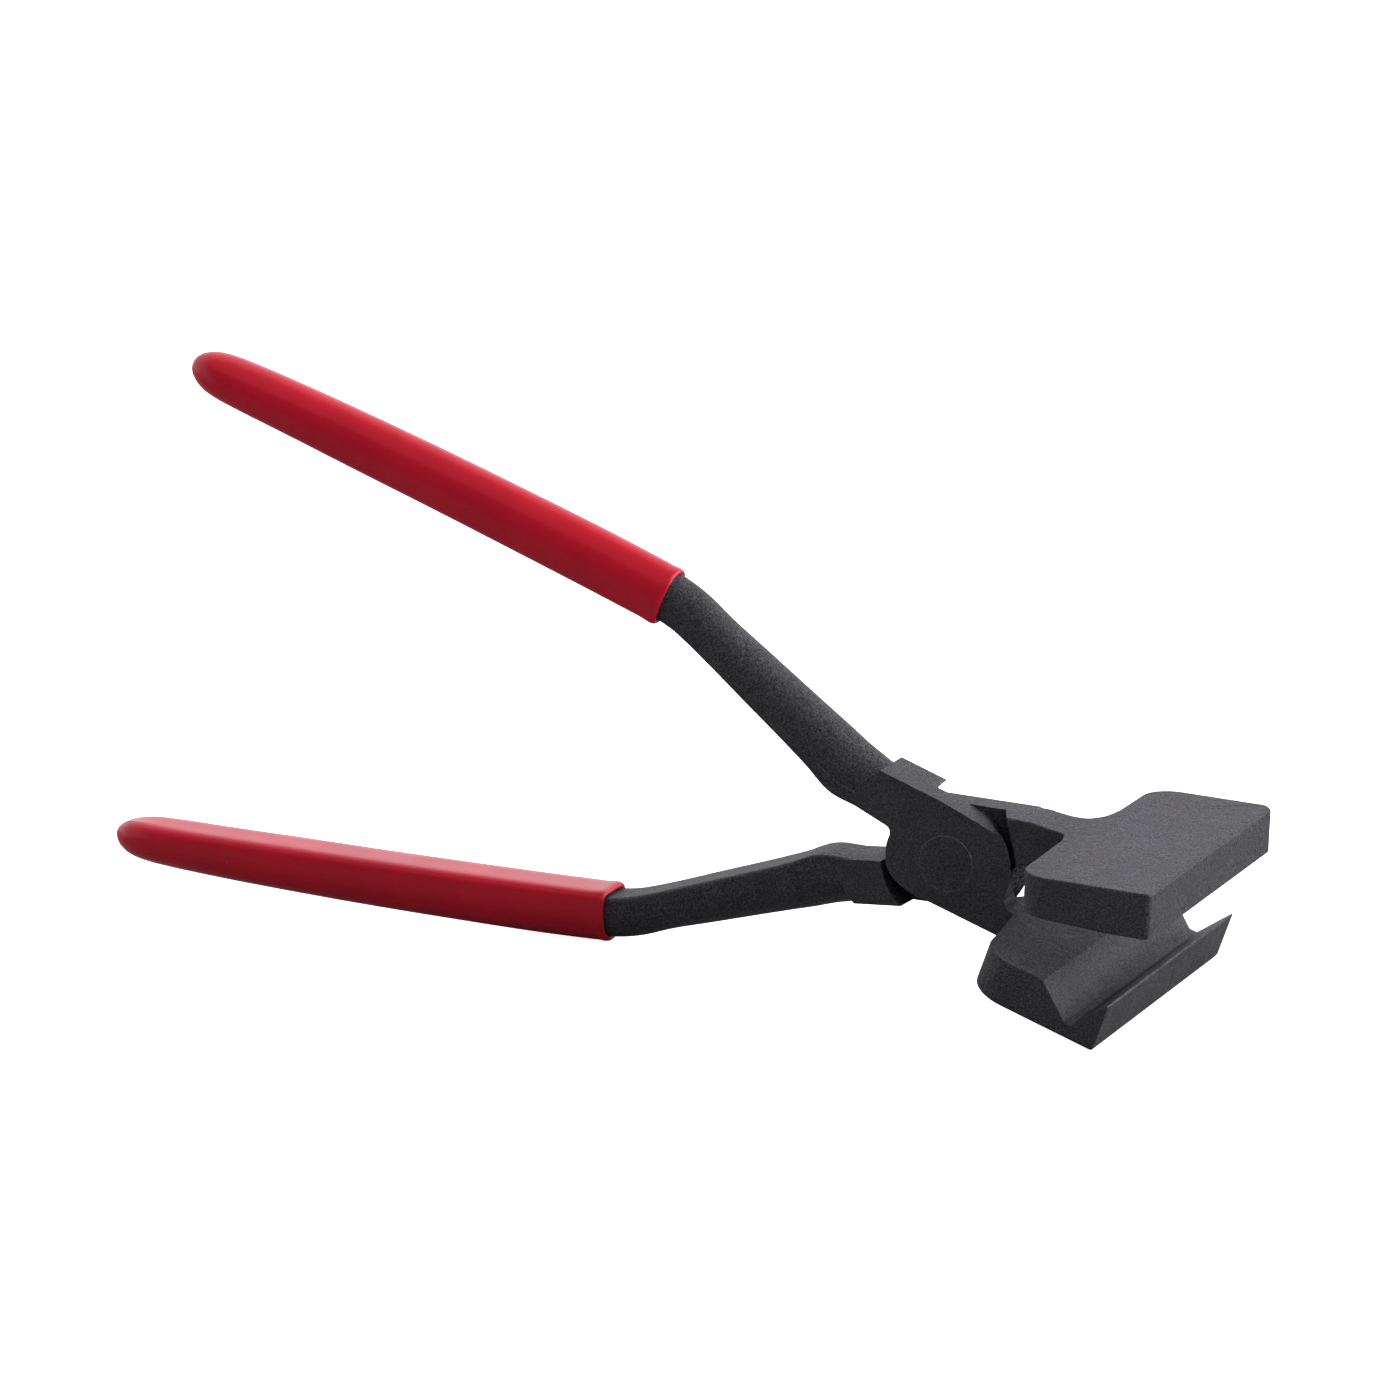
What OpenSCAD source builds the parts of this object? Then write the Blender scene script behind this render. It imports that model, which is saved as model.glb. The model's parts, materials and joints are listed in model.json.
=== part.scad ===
// Sheet metal seaming pliers with a broad flat upper jaw over a V-grooved lower jaw.
// Each lever is drawn as it lies in the closed pliers: the pivot at the origin,
// +X towards the jaws, +Z up, and the jaws wide along Y. The levers are then opened
// and stood up, so that the lower jaw's front edge and the lower grip rest on Z = 0.

/* [Upper jaw] */
// Width of both jaws
jaw_w = 80; // [60:1:100]
// Distance from the pivot to the upper jaw's front face
upper_front = 61.6; // [60:0.2:66]
// Distance from the pivot to the upper jaw's back edge
upper_back = 30; // [29:0.5:33]
// Height of the upper jaw's flat top over the pivot
upper_top = 11.2; // [10.5:0.1:12]
// Height of the working face over the pivot
upper_face = 0.9; // [0.8:0.1:1.5]
// Radius of the jaws' back corners in plan
jaw_corner_r = 7; // [3:0.5:9]

/* [Lower jaw] */
// Distance from the pivot to the lower jaw's front face
lower_front = 55.5; // [55:0.1:57]
// Distance from the pivot to the lower jaw's back edge
lower_back = 22.5; // [21:0.5:24]
// Depth of the lower jaw's flat bottom under the pivot
lower_bottom = 11; // [10.5:0.1:12]
// Depth of the lower jaw's top behind the groove, under the pivot
lower_land = 0.6; // [0.4:0.1:1]
// Distance from the pivot to the groove's back edge
groove_back = 39.4; // [38:0.1:41]
// Slope of the groove's back wall
groove_slope = 41; // [38:1:44]
// Slope of the lip's inner wall
lip_slope = 51; // [48:1:54]

/* [Joint] */
// Thickness of the joint over both laps
joint_t = 12.8; // [12:0.1:14]
// Gap between the two laps
lap_gap = 0.1; // [0.1:0.05:0.3]
// Radius of the round part of each lap
lap_r = 14.8; // [14:0.1:15.2]
// Radius of the front edge of the lower jaw lever's lap
lap_front_r = 15.7; // [15:0.1:16]
// Radius of the shoulders behind the pivot
shoulder_r = 16.2; // [16:0.1:16.8]
// Radius of the shoulders in front of the pivot
front_shoulder_r = 17; // [16.8:0.1:17.6]
// Radius of the rivet
rivet_r = 6.5; // [5:0.1:7]
// Running clearance of the rivet in the upper jaw lever
rivet_clearance = 0.05; // [0.02:0.01:0.1]
// Radius of the rivet's countersunk head
rivet_head_r = 7.6; // [7.2:0.1:8]

/* [Handles] */
// Length of each handle, from the pivot to the tip of its grip
handle_length = 214.6; // [205:0.5:225]
// Distance from the pivot to the mouth of each grip
grip_mouth = 84.5; // [82:0.5:90]
// Height of a handle's inner face over the pliers' centre line, at the mouth
handle_inner = 22; // [21.5:0.1:23]
// Depth of the handle bar at the mouth
handle_depth = 10.5; // [9.5:0.1:11.5]
// Width of the handle bar at the mouth
handle_width = 10.6; // [9.5:0.1:12]
// Wall of the dipped grip
grip_wall = 1.3; // [0.8:0.1:1.8]

/* [Pose] */
// Angle by which the jaws stand open
opening = 17.3; // [5:0.1:40]

/* [Hidden] */
$fn = 96;

half_t = joint_t / 2;
half_w = jaw_w / 2;
edge = 1;                        // bevel along the jaws' long lower edges
neck_half = half_t;              // the necks are as thick as the joint
rivet_head_h = 1.6;

// The groove: the lip's tip, and where the two walls meet.
lip_x = lower_front - 0.1;
lip_z = 0.7;
groove_x = (lip_z - lip_x * tan(lip_slope) + lower_land - groove_back * tan(groove_slope))
           / -(tan(lip_slope) + tan(groove_slope));
groove_z = -lower_land - (groove_x - groove_back) * tan(groove_slope);
groove_flat = 0.9;               // half the width of the groove's floor

// Sections of the upper handle's bar, from the joint to the tip:
// [distance from the pivot, height of the flat inner face, height of the round back, width].
SHANK = [
    [22, 2.8, 13.9, joint_t - 0.4],
    [28, 3.1, 15.3, joint_t + 0.2],
    [33.5, 3.8, 17, joint_t + 0.2],
    [38, 5.8, 18.4, joint_t],
    [44, 8.1, 20.2, joint_t - 0.4],
    [70, 17.9, 28.4, handle_width + 0.6],
    [76, 20, 30.7, handle_width + 0.3],
    [80, 21.2, 31.8, handle_width]];
mouth_section = [grip_mouth, handle_inner, handle_inner + handle_depth, handle_width];
HANDLE = [
    mouth_section,
    [grip_mouth + 20, handle_inner + 0.6, handle_inner + handle_depth + 0.7, handle_width],
    [145, handle_inner + 1.7, handle_inner + handle_depth + 1.1, handle_width - 0.2],
    [handle_length - 27, handle_inner + 2.3, handle_inner + handle_depth + 0.5, handle_width - 0.8]];
BAR_END = [
    [handle_length - 12, handle_inner + 2.9, handle_inner + handle_depth - 0.6, handle_width - 2],
    [handle_length - 5, handle_inner + 4.5, handle_inner + handle_depth - 2.2, handle_width - 5.6]];
GRIP_END = [
    [handle_length - 11, handle_inner + 2.7, handle_inner + handle_depth - 0.4, handle_width - 1.8],
    [handle_length - 5, handle_inner + 3.3, handle_inner + handle_depth - 1.4, handle_width - 4],
    [handle_length - 1.8, handle_inner + 4.4, handle_inner + handle_depth - 2.9, handle_width - 6.6],
    [handle_length, handle_inner + 5.9, handle_inner + handle_depth - 4.2, handle_width - 9.6]];

// A point turned about the pivot, and the lines of contact with the table: the lower
// jaw's front edge, and whichever of the lower grip's sections comes down first.
function turned(p, a) = [p[0] * cos(a) + p[1] * sin(a), p[1] * cos(a) - p[0] * sin(a)];
toe = turned([lower_front - edge, -lower_bottom], opening / 2);
tilt = max([for (s = HANDLE)
    let (heel = turned([-s[0], -s[2] - grip_wall], -opening / 2))
    atan2(toe[1] - heel[1], toe[0] - heel[0])]);
pivot_z = -turned(toe, tilt)[1];

// The origin lies under the middle of the pliers' length.
front_reach = turned([upper_front, upper_top - edge / 2], tilt - opening / 2)[0];
tip_z = handle_inner + handle_depth / 2;
back_reach = turned([-handle_length, -tip_z], tilt - opening / 2)[0];
pivot_x = -(front_reach + back_reach) / 2;

module stand(turn) {
    translate([pivot_x, 0, pivot_z]) rotate([0, tilt + turn, 0]) children();
}

// An XZ outline as a slab from y0 to y1.
module slab(y0, y1) {
    translate([0, y1, 0]) rotate([90, 0, 0]) linear_extrude(y1 - y0) children();
}

// The half plane on one side of X = x, as a large square.
module before(x) translate([x - 100, -50]) square([100, 100]);
module beyond(x) translate([x, -50]) square([100, 100]);

// Section of a handle: flat inside, low straight sides and a round back.
function outline(width, depth, side = 0.33) = concat(
    [[-width / 2, 0], [width / 2, 0]],
    [for (a = [0:12:180]) [width / 2 * cos(a), depth * (side + (1 - side) * sin(a))]]);

function ring(s, grow) = [
    for (p = outline(s[3] + 2 * grow, s[2] - s[1] + 2 * grow)) [-s[0], p[0], s[1] - grow + p[1]]];

// A solid skinned over a row of sections, each grown all round by the same amount.
module loft(sections, grow = 0) {
    n = len(outline(1, 1));
    last = (len(sections) - 1) * n;
    polyhedron(
        points = [for (s = sections) each ring(s, grow)],
        faces = concat(
            [[for (i = [n - 1:-1:0]) i]],
            [[for (i = [0:n - 1]) last + i]],
            [for (k = [0:n:last - n], i = [0:n - 1]) [k + i, k + n + (i + 1) % n, k + n + i]],
            [for (k = [0:n:last - n], i = [0:n - 1]) [k + i, k + (i + 1) % n, k + n + (i + 1) % n]]));
}

// The bar of the upper handle. The lower handle is its mirror image.
module bar() {
    loft(concat(SHANK, HANDLE, BAR_END));
}

// Milled block behind the pivot, where the bar meets the joint.
module block_outline() {
    polygon([[-24, 2.6], [-16, 2.3], [-13, 2.3], [0, 6], [0, 12.9], [-6, 13.3], [-22, 13.5]]);
}

// Plan of a jaw: round back corners and a neck with fillets that runs back to x = 0.
module jaw_plan(back, front) {
    translate([0, -half_w + jaw_corner_r]) square([front, jaw_w - 2 * jaw_corner_r]);
    translate([back + jaw_corner_r, -half_w]) square([front - back - jaw_corner_r, jaw_w]);
    for (s = [-1, 1]) translate([back + jaw_corner_r, s * (half_w - jaw_corner_r)]) circle(jaw_corner_r);
}

module jaw_cut(back) {
    fillet = 3.5;
    for (s = [-1, 1]) beside_neck(back, s, fillet);
}

// The space beside a neck, with a round inner corner against the jaw's back edge.
module beside_neck(back, s, r) {
    y0 = s > 0 ? neck_half + r : -half_w - 1;
    translate([-1, y0]) square([back + 1, half_w + 1 - neck_half - r]);
    translate([-1, s > 0 ? neck_half : -neck_half - r]) square([back - r + 1, r]);
    translate([back - r, s * (neck_half + r)]) circle(r);
}

module jaw_shape(back, front) {
    linear_extrude(60, center = true) difference() {
        jaw_plan(back, front);
        jaw_cut(back);
    }
}

module lower_jaw() {
    intersection() {
        jaw_shape(lower_back, lower_front);
        slab(-half_w, half_w) polygon([
            [18, -10.4], [lower_back, -lower_bottom],
            [lower_front - edge, -lower_bottom], [lower_front, -lower_bottom + edge],
            [lower_front, lip_z - 0.4], [lip_x, lip_z],
            [groove_x + groove_flat, groove_z + groove_flat * tan(lip_slope)],
            [groove_x - groove_flat, groove_z + groove_flat * tan(groove_slope)],
            [groove_back, -lower_land], [lower_back, -lower_land], [18, -3.6]]);
    }
}

module upper_jaw() {
    intersection() {
        jaw_shape(upper_back, upper_front);
        slab(-half_w, half_w) polygon([
            [18, 2.6], [upper_back - 4, 2.2], [upper_back, upper_face + 0.6],
            [upper_front - 0.6, upper_face], [upper_front, upper_face + 0.6],
            [upper_front, upper_top - edge], [upper_front - edge, upper_top],
            [upper_back, upper_top], [upper_back - 5, 12.3], [18, 12.6]]);
    }
}

module lower_jaw_lever() {
    color("#3b3b3e") stand(opening / 2) {
        difference() {
            union() {
                lower_jaw();
                // lap on the near side of the joint
                slab(-half_t, -lap_gap / 2) {
                    block_outline();
                    intersection() { circle(lap_r); translate([-20, -10.3]) square([40, 20]); }
                    intersection() {
                        circle(lap_front_r);
                        polygon([[0, -10.3], [17, -10.3], [17, 0], [17, 11.7], [0, 12.9]]);
                    }
                    polygon([[0, -10.3], [18, -10.4], [18, -3.6], [15.5, -1.8], [10, 0]]);
                }
                // shoulders on the far side, before and behind the other lever's lap
                slab(-half_t, half_t) difference() {
                    union() {
                        block_outline();
                        polygon([[12, -10.3], [18.2, -10.4], [18.2, -3.6], [15.5, -1.8], [10, 0]]);
                    }
                    circle(front_shoulder_r);
                }
            }
            slab(-lap_gap / 2, half_t + 1) circle(shoulder_r);
            slab(-half_t - 1, half_t) circle(rivet_r);
        }
        bar();
    }
}

module upper_jaw_lever() {
    color("#3b3b3e") stand(-opening / 2) {
        difference() {
            union() {
                upper_jaw();
                // lap on the far side of the joint
                slab(lap_gap / 2, half_t) {
                    mirror([0, 1]) block_outline();
                    intersection() { circle(lap_r); translate([-20, -13]) square([40, 25]); }
                    polygon([[0, -6], [12, 0], [18.2, 2.6], [18.2, 12.6], [9, 12.3], [0, 12]]);
                }
                // shoulders on the near side, before and behind the other lever's lap
                slab(-half_t, half_t) difference() {
                    union() {
                        mirror([0, 1]) block_outline();
                        polygon([[9, 0], [18.2, 2.6], [18.2, 12.6], [9, 12.3]]);
                    }
                    circle(shoulder_r);
                }
            }
            slab(-half_t - 1, lap_gap / 2) intersection() { circle(front_shoulder_r); beyond(0); }
            slab(-half_t - 1, lap_gap / 2) intersection() { circle(shoulder_r); before(0.1); }
            slab(-half_t - 1, half_t + 1) circle(rivet_r + rivet_clearance);
            rivet_head(rivet_clearance);
        }
        mirror([0, 0, 1]) bar();
    }
}

// Countersunk head on the far side, with room around it in the lever.
module rivet_head(room) {
    translate([0, half_t + room, 0]) rotate([90, 0, 0])
        cylinder(h = rivet_head_h + room, r1 = rivet_head_r + room, r2 = rivet_r + room - 0.01);
}

module pivot_rivet() {
    color("#454548") stand(opening / 2) {
        slab(-half_t, half_t) circle(rivet_r);
        rivet_head(0);
    }
}

// Dipped sleeve over the bar, with a closed round tip.
module grip() {
    before_mouth = [[grip_mouth - 2, handle_inner, handle_inner + handle_depth, handle_width]];
    difference() {
        loft(concat(HANDLE, GRIP_END), grip_wall);
        loft(concat(before_mouth, HANDLE, BAR_END));
    }
}

module upper_grip() {
    color("#9b1c26") stand(opening / 2) grip();
}

module lower_grip() {
    color("#9b1c26") stand(-opening / 2) mirror([0, 0, 1]) grip();
}

lower_jaw_lever();
upper_jaw_lever();
pivot_rivet();
upper_grip();
lower_grip();
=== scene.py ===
import json
import math

import bmesh
import bpy
from bpy.props import FloatProperty, FloatVectorProperty, PointerProperty
from bpy.types import Operator, Panel, PropertyGroup
from mathutils import Matrix, Vector


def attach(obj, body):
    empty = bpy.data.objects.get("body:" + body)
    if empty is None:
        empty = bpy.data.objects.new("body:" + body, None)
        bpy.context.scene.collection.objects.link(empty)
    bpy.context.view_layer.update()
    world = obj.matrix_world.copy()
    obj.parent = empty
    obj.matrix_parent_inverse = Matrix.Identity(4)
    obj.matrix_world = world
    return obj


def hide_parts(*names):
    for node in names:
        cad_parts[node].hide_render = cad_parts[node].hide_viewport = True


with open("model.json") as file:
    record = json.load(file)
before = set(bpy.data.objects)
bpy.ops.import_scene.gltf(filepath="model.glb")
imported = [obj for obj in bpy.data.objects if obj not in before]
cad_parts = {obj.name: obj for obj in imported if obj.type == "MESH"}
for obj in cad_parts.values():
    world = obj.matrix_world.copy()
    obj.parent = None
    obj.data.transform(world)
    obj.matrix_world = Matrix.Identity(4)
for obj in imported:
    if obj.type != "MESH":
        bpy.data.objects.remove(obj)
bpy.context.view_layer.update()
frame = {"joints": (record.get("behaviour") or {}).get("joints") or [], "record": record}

bl_info = {
    "name": "Seaming Pliers",
    "version": (1, 0, 0),
    "blender": (4, 5, 0),
    "location": "3D View > Sidebar > Pliers",
    "description": "Builds sheet metal seaming pliers, with forged levers and dipped grips",
    "category": "Add Mesh",
}

# Each lever is drawn in millimetres as it lies in the closed pliers: the pivot at the
# origin, +X towards the jaws, and the jaws wide along Y. Both levers are drawn with the
# handle up and the jaw down. The upper jaw's lever is then turned over about X.
MM = 0.001
PIVOT = Vector(frame["joints"][0]["pos_m"])


def mount_axis(name):
    """The direction that a mount of the record faces."""
    for mount in frame["record"]["mounts"]:
        if mount["name"] == name:
            return Vector(mount["axis"])
    raise RuntimeError(f"the record has no mount named {name}")


def lever_place(jaw_mount, turned_over):
    """The matrix that takes a lever's drawing to where the lever stands at rest."""
    axis = mount_axis(jaw_mount)
    if not turned_over:
        axis = -axis
    lean = math.atan2(axis.x, axis.z)
    place = Matrix.Translation(PIVOT) @ Matrix.Rotation(lean, 4, "Y")
    if turned_over:
        place = place @ Matrix.Rotation(math.pi, 4, "X")
    return place @ Matrix.Scale(MM, 4)


LOWER_PLACE = lever_place("lower_jaw_bottom", False)
UPPER_PLACE = lever_place("upper_jaw_top", True)


# ---------------------------------------------------------------- sizes and colours

def length(name, description, default, largest=1.0):
    """A length in metres that a user may change."""
    return FloatProperty(
        name=name, description=description, default=default,
        min=0.0, max=largest, precision=5, unit="LENGTH", subtype="DISTANCE")


def tint(name, description, default):
    """A colour that a user may change."""
    return FloatVectorProperty(
        name=name, description=description, default=default,
        size=3, min=0.0, max=1.0, subtype="COLOR")


class PliersJointSizes(PropertyGroup):
    """Sizes of the joint and its rivet."""
    thickness: length("Thickness", "Thickness of the joint over both laps", 0.0128)
    lap_gap: length("Lap gap", "Gap between the two laps", 0.0001)
    lap_radius: length("Lap radius", "Radius of the round part of each lap", 0.0148)
    lap_front_radius: length("Lap front", "Radius of a lap's front edge, outside", 0.0157)
    lap_inside_radius: length("Lap inside", "Radius of a lap's front edge, inside", 0.0130)
    upper_shoulder: length("Upper shoulder", "Radius of the upper handle's shoulder", 0.0164)
    lower_shoulder: length("Lower shoulder", "Radius of the lower handle's shoulder", 0.0155)
    rivet_radius: length("Rivet radius", "Radius of the rivet's flush near end", 0.0065)
    rivet_head_radius: length("Rivet head", "Radius of the countersunk far end", 0.0076)
    edge: length("Edge", "Rounding of the milled edges", 0.00025)


class PliersJawSizes(PropertyGroup):
    """Sizes of both jaws."""
    width: length("Width", "Width of both jaws", 0.080)
    upper_front: length("Upper front", "Pivot to the upper jaw's front face", 0.06158)
    upper_height: length("Upper height", "Pivot to the upper jaw's flat top", 0.0112)
    upper_face: length("Upper face", "Pivot to the upper jaw's working face", 0.0007)
    lower_front: length("Lower front", "Pivot to the lower jaw's front face", 0.0555)
    lower_depth: length("Lower depth", "Pivot to the lower jaw's flat bottom", 0.0110)
    lip_height: length("Lip height", "Height of the lip's tip over the pivot", 0.0007)
    edge: length("Edge", "Rounding of the jaws' heavy edges", 0.0011)


class PliersGripSizes(PropertyGroup):
    """Sizes of the dipped sleeves."""
    mouth: length("Mouth", "Pivot to the mouth of a grip", 0.0845)
    wall: length("Wall", "Wall of the dipped sleeve", 0.0013)
    bead: length("Bead", "How far the rolled rim stands proud", 0.00012)


class PliersFinishes(PropertyGroup):
    """Colours of the finishes."""
    steel: tint("Steel", "Blackened steel of the forged surfaces", (0.0240, 0.0233, 0.0250))
    milled: tint("Milled", "Blackened steel of the milled faces", (0.0240, 0.0236, 0.0247))
    bare: tint("Bare steel", "Steel where the blackening has worn away", (0.32, 0.31, 0.30))
    dip: tint("Dip", "Red plastic of the grips", (0.48, 0.0020, 0.015))
    floor: tint("Floor", "Floor under the pliers", (0.86, 0.86, 0.86))


# ---------------------------------------------------------------- drawing helpers

def millimetres(value):
    """A length property in the drawing's millimetres."""
    return value / MM


def curve_through(points, spans):
    """Points along a smooth curve through the given points, each gap cut into spans."""
    last = len(points) - 1
    result = []
    for i in range(last):
        before = points[max(i - 1, 0)]
        after = points[min(i + 2, last)]
        for k in range(spans):
            t = k / spans
            result.append(tuple(
                p + 0.5 * t * ((q - o) + t * ((2 * o - 5 * p + 4 * q - r)
                                              + t * (3 * (p - q) + r - o)))
                for o, p, q, r in zip(before, points[i], points[i + 1], after)))
    result.append(points[-1])
    return result


def arc(radius, first, last, steps):
    """Points on a circle about the pivot, from one angle to another, in degrees."""
    angles = [math.radians(first + (last - first) * i / steps) for i in range(steps + 1)]
    return [(radius * math.cos(a), radius * math.sin(a)) for a in angles]


def height_at(rows, x):
    """The height at distance x on a line through rows of (distance, height)."""
    if x <= rows[0][0]:
        return rows[0][1]
    for (x0, z0), (x1, z1) in zip(rows, rows[1:]):
        if x <= x1:
            return z0 + (z1 - z0) * (x - x0) / (x1 - x0)
    return rows[-1][1]


def between(rows, step):
    """Rows of numbers, with more put in between smoothly, so that none lie over a step apart."""
    gaps = [b[0] - a[0] for a, b in zip(rows, rows[1:])]
    rises = [[(q - p) / gap for p, q in zip(a, b)] for a, b, gap in zip(rows, rows[1:], gaps)]
    slopes = [rises[0]]
    for i in range(1, len(rows) - 1):
        slopes.append([
            0.0 if p * q <= 0 else (p * gaps[i] + q * gaps[i - 1]) / (gaps[i] + gaps[i - 1])
            for p, q in zip(rises[i - 1], rises[i])])
    slopes.append(rises[-1])
    result = []
    for i, gap in enumerate(gaps):
        count = max(1, math.ceil(gap / step))
        for k in range(count):
            t = k / count
            result.append([
                p * (1 + 2 * t) * (1 - t) ** 2 + q * t * t * (3 - 2 * t)
                + gap * (u * t * (1 - t) ** 2 - v * t * t * (1 - t))
                for p, q, u, v in zip(rows[i], rows[i + 1], slopes[i], slopes[i + 1])])
    result.append(list(rows[-1]))
    return result


def check_closed(bm, name):
    """Turns the faces outwards, and stops if the shape isn't one closed surface."""
    bmesh.ops.remove_doubles(bm, verts=bm.verts[:], dist=1e-5)
    bmesh.ops.recalc_face_normals(bm, faces=bm.faces[:])
    if any(not edge.is_manifold for edge in bm.edges):
        raise RuntimeError(f"{name} isn't closed")


def to_object(bm, name):
    """An object made of a finished bmesh."""
    mesh = bpy.data.meshes.new(name)
    bm.to_mesh(mesh)
    bm.free()
    made = bpy.data.objects.new(name, mesh)
    bpy.context.scene.collection.objects.link(made)
    return made


def applied(made):
    """Takes an object's modifiers into its mesh."""
    bpy.context.view_layer.update()
    graph = bpy.context.evaluated_depsgraph_get()
    mesh = bpy.data.meshes.new_from_object(made.evaluated_get(graph))
    made.modifiers.clear()
    old = made.data
    made.data = mesh
    bpy.data.meshes.remove(old)
    return made


# Edges that turn by less than this, in radians, are left as they are.
SMALLEST_TURN = 0.4


def rounded(bm, name, rule, clamp):
    """A solid whose edges are rounded by the width in millimetres that rule gives for each."""
    check_closed(bm, name)
    bm.normal_update()
    layer = bm.edges.layers.float.new("bevel_weight_edge")
    widths = {edge: rule(edge) for edge in bm.edges if edge.calc_face_angle(0) > SMALLEST_TURN}
    widest = max(widths.values())
    for edge, width in widths.items():
        edge[layer] = width / widest
    made = to_object(bm, name)
    bevel = made.modifiers.new("Rounded edges", "BEVEL")
    bevel.limit_method = "WEIGHT"
    bevel.width = widest
    bevel.segments = 3
    bevel.use_clamp_overlap = clamp
    return applied(made)


def combined(first, second, operation):
    """Joins the second solid to the first, or cuts it away. The second is used up."""
    step = first.modifiers.new(operation, "BOOLEAN")
    step.operation = operation
    step.solver = "EXACT"
    step.object = second
    applied(first)
    mesh = second.data
    bpy.data.objects.remove(second)
    bpy.data.meshes.remove(mesh)
    return first


def extruded(bm, face, move):
    """Extrudes a face. Returns its new vertices by the place each one came from."""
    on_solid = all(edge.is_manifold for edge in face.edges)
    made = bmesh.ops.extrude_face_region(bm, geom=[face])["geom"]
    verts = [v for v in made if isinstance(v, bmesh.types.BMVert)]
    origins = {v: v.co.copy() for v in verts}
    bmesh.ops.translate(bm, verts=verts, vec=move)
    if on_solid:
        bmesh.ops.delete(bm, geom=[face], context="FACES_ONLY")
    return origins


def loft(name, rings):
    """A closed solid over a row of rings of points, from one end to the other."""
    bm = bmesh.new()
    verts = bmesh.ops.create_circle(bm, cap_ends=False, radius=1, segments=len(rings[0]))["verts"]
    for vert, point in zip(verts, rings[0]):
        vert.co = point
    first = list({edge for vert in verts for edge in vert.link_edges})
    loop = first
    for ring in rings[1:]:
        made = bmesh.ops.extrude_edge_only(bm, edges=loop)["geom"]
        loop = [e for e in made if isinstance(e, bmesh.types.BMEdge)]
        new = {v for v in made if isinstance(v, bmesh.types.BMVert)}
        verts = [next(e.other_vert(v) for e in v.link_edges if e.other_vert(v) in new)
                 for v in verts]
        for vert, point in zip(verts, ring):
            vert.co = point
        loop = [e for e in loop if e.verts[0] in new and e.verts[1] in new]
    bmesh.ops.edgeloop_fill(bm, edges=first)
    bmesh.ops.edgeloop_fill(bm, edges=loop)
    check_closed(bm, name)
    return to_object(bm, name)


def finished(made, place, sharp_angle=32):
    """Puts a drawn solid where it stands, and sets how its edges are shaded."""
    bm = bmesh.new()
    bm.from_mesh(made.data)
    bmesh.ops.transform(bm, matrix=place, verts=bm.verts[:])
    bmesh.ops.remove_doubles(bm, verts=bm.verts[:], dist=2e-6)
    bmesh.ops.dissolve_degenerate(bm, edges=bm.edges[:], dist=1e-6)
    flaps = [f for f in bm.faces if all(len(e.link_faces) != 2 for e in f.edges)]
    bmesh.ops.delete(bm, geom=flaps, context="FACES")
    bmesh.ops.holes_fill(bm, edges=[e for e in bm.edges if e.is_boundary], sides=8)
    bmesh.ops.recalc_face_normals(bm, faces=bm.faces[:])
    for face in bm.faces:
        face.smooth = True
    for edge in bm.edges:
        edge.smooth = edge.calc_face_angle(0) < math.radians(sharp_angle)
    open_edges = sum(not edge.is_manifold for edge in bm.edges)
    print(f"{made.name}: {len(bm.faces)} faces, {open_edges} open edges")
    bm.to_mesh(made.data)
    bm.free()
    weighted = made.modifiers.new("Flat faces shaded flat", "WEIGHTED_NORMAL")
    weighted.keep_sharp = True
    weighted.weight = 60
    return made


def settle(made, body, node, slot, *materials):
    """Gives a piece its materials and its body, and hides the CAD part that it stands for. Its slot
    is not used.
    """
    for material in materials:
        made.data.materials.append(material)
    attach(made, body)
    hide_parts(node)
    return made


# ---------------------------------------------------------------- levers

# Sections of a handle's bar, from the joint to the tip: distance from the pivot, height
# of the flat inside, height of the round back, width at the flat, width of the round
# part, corner radius, how much of the depth is a flat side, and the depth of the crease
# between the flat side and the round part.
BAR = [
    (16, 3.3, 12.5, 12.2, 12.0, 0.8, 0.30, 0.30),
    (22, 2.75, 13.7, 12.7, 12.1, 0.7, 0.28, 0.28),
    (26, 2.65, 14.7, 12.7, 12.4, 0.7, 0.27, 0.28),
    (29, 2.65, 15.5, 12.7, 12.6, 0.7, 0.27, 0.26),
    (33.5, 3.5, 17.0, 12.7, 12.7, 0.7, 0.26, 0.22),
    (37.8, 5.6, 18.3, 12.6, 12.6, 0.8, 0.26, 0.14),
    (44, 8.1, 20.2, 12.3, 12.3, 0.9, 0.28, 0.12),
    (58.9, 13.7, 24.9, 11.7, 11.7, 1.0, 0.30, 0.12),
    (70, 17.9, 28.4, 11.2, 11.2, 1.0, 0.32, 0.12),
    (76, 20.0, 30.7, 10.9, 10.9, 1.1, 0.32, 0.12),
    (80, 21.2, 31.8, 10.6, 10.6, 1.1, 0.33, 0.10),
    (84.5, 22.0, 32.5, 10.6, 10.6, 1.1, 0.33, 0.0),
    (104.5, 22.6, 33.2, 10.6, 10.6, 1.1, 0.33, 0.0),
    (145, 23.7, 33.6, 10.4, 10.4, 1.1, 0.33, 0.0),
    (187.6, 24.3, 33.0, 9.8, 9.8, 1.1, 0.33, 0.0),
    (202.6, 24.9, 31.9, 8.6, 8.6, 1.1, 0.33, 0.0),
    (209.6, 26.6, 30.2, 5.0, 5.0, 0.9, 0.33, 0.0),
]

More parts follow.
